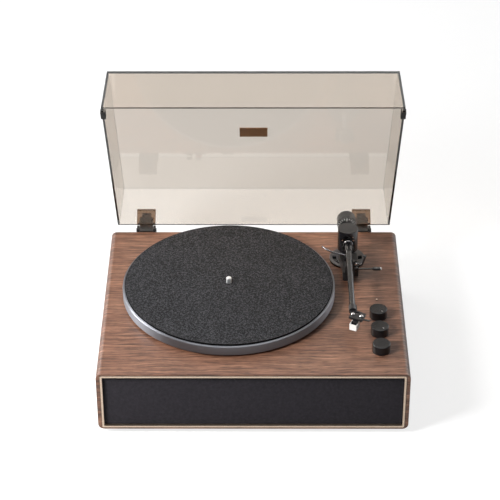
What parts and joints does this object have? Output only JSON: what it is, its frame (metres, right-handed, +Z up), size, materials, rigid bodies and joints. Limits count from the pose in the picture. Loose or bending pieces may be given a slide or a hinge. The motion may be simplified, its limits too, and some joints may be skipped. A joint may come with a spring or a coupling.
{
  "type": "record player",
  "caption": "Belt-driven record player in a walnut cabinet with a cloth grille, straight tone arm, control knobs and a hinged smoked dust cover, shown open.",
  "frame": {"origin": "centre of the footprint of the whole object at rest, with the cover open, on the plane its feet stand on", "axes": "+X to the right seen from the front, -Y to the front where the grille is, +Z up"},
  "size_m": [0.42, 0.3996, 0.4312],
  "materials": {
    "walnut_wrap": "satin walnut foil on fibreboard, grain along X",
    "fibreboard": "black painted fibreboard",
    "grille_cloth": "black woven speaker cloth",
    "gold_trim": "satin champagne anodised",
    "black_plastic": "moulded black ABS",
    "knob_plastic": "smooth black ABS with a bright edge",
    "black_paint": "satin black lacquer",
    "weight_metal": "satin black lacquered steel weight",
    "rubber": "black rubber",
    "mat_felt": "fine speckled dark grey slip mat",
    "platter_metal": "dark anodised, satin turned",
    "steel": "turned steel",
    "chrome": "polished chrome",
    "cone_paper": "pressed paper cone",
    "circuit_board": "green circuit board",
    "smoked_acrylic": "clear smoked acrylic, polished",
    "bronze": "dark bronze plate",
    "white_plastic": "moulded white plastic",
    "lamp_lens": "frosted lens"
  },
  "bodies": {
    "cabinet": {"cabinet_shell": "walnut_wrap", "front_baffle": "fibreboard", "grille_cloth": "grille_cloth", "grille_trim": "gold_trim", "speaker_frame_left": "black_paint", "speaker_cone_left": "cone_paper", "speaker_frame_right": "black_paint", "speaker_cone_right": "cone_paper", "rear_panel": "fibreboard", "sound_output_sockets": "black_plastic", "power_inlet": "black_plastic", "volume_control": "steel", "source_control": "steel", "speed_control": "steel", "amplifier_board": "circuit_board", "power_lamp": "lamp_lens", "bearing_housing": "steel", "motor": "steel", "drive_belt": "rubber", "foot_front_left": "rubber", "foot_rear_left": "rubber", "foot_front_right": "rubber", "foot_rear_right": "rubber", "arm_base": "black_plastic", "arm_rest": "black_plastic", "hinge_bracket_left": "black_paint", "hinge_pin_left": "steel", "hinge_bracket_right": "black_paint", "hinge_pin_right": "steel"},
    "cover": {"dust_cover": "smoked_acrylic", "badge_plate": "bronze", "lid_bumper_left": "rubber", "lid_bumper_right": "rubber", "hinge_leaf_left": "black_plastic", "hinge_leaf_right": "black_plastic"},
    "turntable": {"platter": "platter_metal", "platter_mat": "mat_felt", "spindle": "chrome"},
    "pulley": {"motor_pulley": "steel"},
    "volume": {"volume_knob": "knob_plastic"},
    "source": {"source_knob": "knob_plastic"},
    "speed": {"speed_knob": "knob_plastic"},
    "arm_yoke": {"pivot_housing": "black_paint", "pivot_pin_left": "steel", "pivot_pin_right": "steel"},
    "tone_arm": {"arm_hub": "steel", "arm_tube": "black_paint", "headshell": "black_plastic", "finger_lift": "black_plastic", "cartridge": "black_plastic", "cartridge_screw_left": "chrome", "cartridge_screw_right": "chrome", "stylus": "black_plastic"},
    "weight": {"counterweight": "weight_metal"},
    "weight_scale": {"scale_ring": "black_plastic"},
    "guard": {"stylus_guard": "white_plastic"},
    "clip": {"rest_clip": "chrome"},
    "lift_bar": {"cue_lift": "black_paint"},
    "lift_lever": {"cue_lever": "black_paint"}
  },
  "joints": [
    {"name": "cover_hinge", "type": "hinge", "parent": "cabinet", "child": "cover", "pos_m": [0, 0.15172, 0.1005], "axis": [1, 0, 0], "range_deg": [0, 60.2]},
    {"name": "platter_spin", "type": "hinge", "parent": "cabinet", "child": "turntable", "pos_m": [-0.0346, -0.01298, 0.112], "axis": [0, 0, -1], "continuous": true},
    {"name": "pulley_spin", "type": "hinge", "parent": "cabinet", "child": "pulley", "pos_m": [-0.10885, 0.06127, 0.096], "axis": [0, 0, -1], "continuous": true},
    {"name": "volume_turn", "type": "hinge", "parent": "cabinet", "child": "volume", "pos_m": [0.1728, -0.14718, 0.10475], "axis": [0, 0, 1], "range_deg": [0, 280]},
    {"name": "source_turn", "type": "hinge", "parent": "cabinet", "child": "source", "pos_m": [0.1728, -0.10748, 0.10475], "axis": [0, 0, 1], "range_deg": [0, 60]},
    {"name": "speed_turn", "type": "hinge", "parent": "cabinet", "child": "speed", "pos_m": [0.1728, -0.06778, 0.10475], "axis": [0, 0, 1], "range_deg": [0, 60]},
    {"name": "arm_swing", "type": "hinge", "parent": "cabinet", "child": "arm_yoke", "pos_m": [0.13517, 0.07233, 0.1375], "axis": [0, 0, -1], "range_deg": [0, 49]},
    {"name": "arm_lift", "type": "hinge", "parent": "arm_yoke", "child": "tone_arm", "pos_m": [0.13517, 0.07233, 0.1375], "axis": [1, 0, 0], "range_deg": [-18, 0.6]},
    {"name": "weight_slide", "type": "slide", "parent": "tone_arm", "child": "weight", "axis": [0, 1, 0], "range_m": [-0.004, 0.003]},
    {"name": "scale_turn", "type": "hinge", "parent": "weight", "child": "weight_scale", "pos_m": [0.13517, 0.10858, 0.1375], "axis": [0, 1, 0], "range_deg": [-245, 185]},
    {"name": "guard_slide", "type": "slide", "parent": "tone_arm", "child": "guard", "axis": [-0.4099, -0.9121, 0], "range_m": [0, 0.02]},
    {"name": "clip_turn", "type": "hinge", "parent": "cabinet", "child": "clip", "pos_m": [0.14447, 0.01433, 0.135], "axis": [0, -1, 0], "range_deg": [0, 110]},
    {"name": "lever_turn", "type": "hinge", "parent": "cabinet", "child": "lift_lever", "pos_m": [0.14567, 0.02583, 0.1175], "axis": [0, -1, 0], "range_deg": [0, 25]},
    {"name": "lift_bar_slide", "type": "slide", "parent": "cabinet", "child": "lift_bar", "axis": [0, 0, -1], "range_m": [0, 0.0042]}
  ],
  "couplings": [
    {"joint": "pulley_spin", "follows": "platter_spin", "ratio": 8.793},
    {"joint": "scale_turn", "follows": "weight_slide", "rad_per_m": 1047.2},
    {"joint": "lift_bar_slide", "follows": "lever_turn", "m_per_rad": 0.00916}
  ]
}
